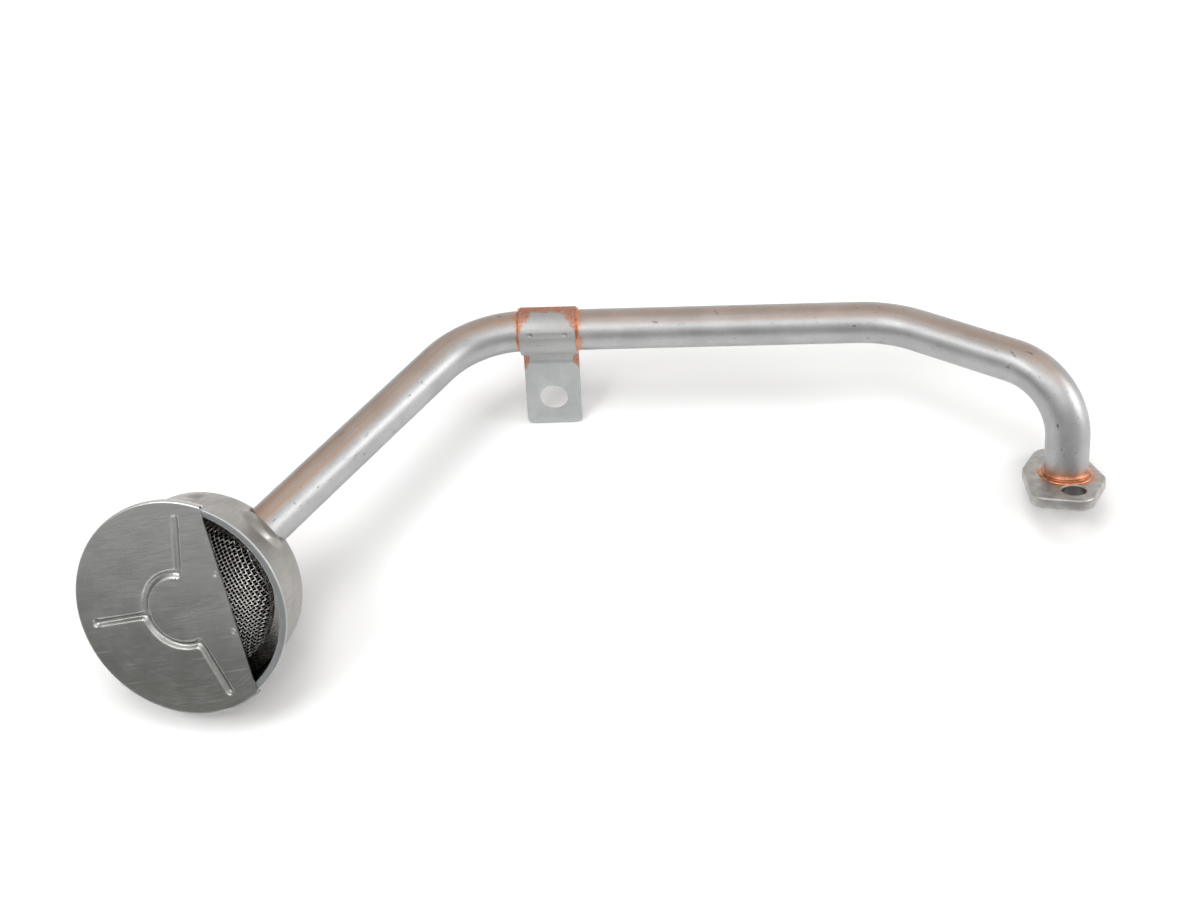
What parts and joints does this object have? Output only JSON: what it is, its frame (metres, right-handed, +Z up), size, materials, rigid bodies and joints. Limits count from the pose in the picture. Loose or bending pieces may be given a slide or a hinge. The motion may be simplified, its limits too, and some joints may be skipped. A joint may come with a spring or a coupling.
{
  "type": "oil pickup tube",
  "caption": "Bent steel suction pipe with a screwed flange, a brazed support bracket and a strainer cup with a domed woven screen behind a half-open cover.",
  "frame": {"origin": "centre of the bounding box's bottom face, on the table the part lies on", "axes": "+X along the long straight toward the flange, +Y toward the back, +Z up"},
  "size_m": [0.3968, 0.1702, 0.0817],
  "materials": {
    "tube_steel": "satin drawn steel pipe with a faint brown heat tint",
    "flange_steel": "matt tumbled steel plate",
    "bracket_steel": "matt cold-rolled sheet",
    "cup_steel": "drawn sheet, satin, slightly warm",
    "screen_wire": "bright woven wire",
    "cover_steel": "dark satin sheet with fine scratches",
    "copper_braze": "copper braze, smooth"
  },
  "bodies": {
    "root": {"suction_tube": "tube_steel", "tube_outlet": "tube_steel", "mounting_flange": "flange_steel", "support_bracket": "bracket_steel", "strainer_cup": "cup_steel", "strainer_screen": "screen_wire", "cover_plate": "cover_steel", "flange_braze": "copper_braze", "bracket_braze": "copper_braze"}
  },
  "joints": []
}
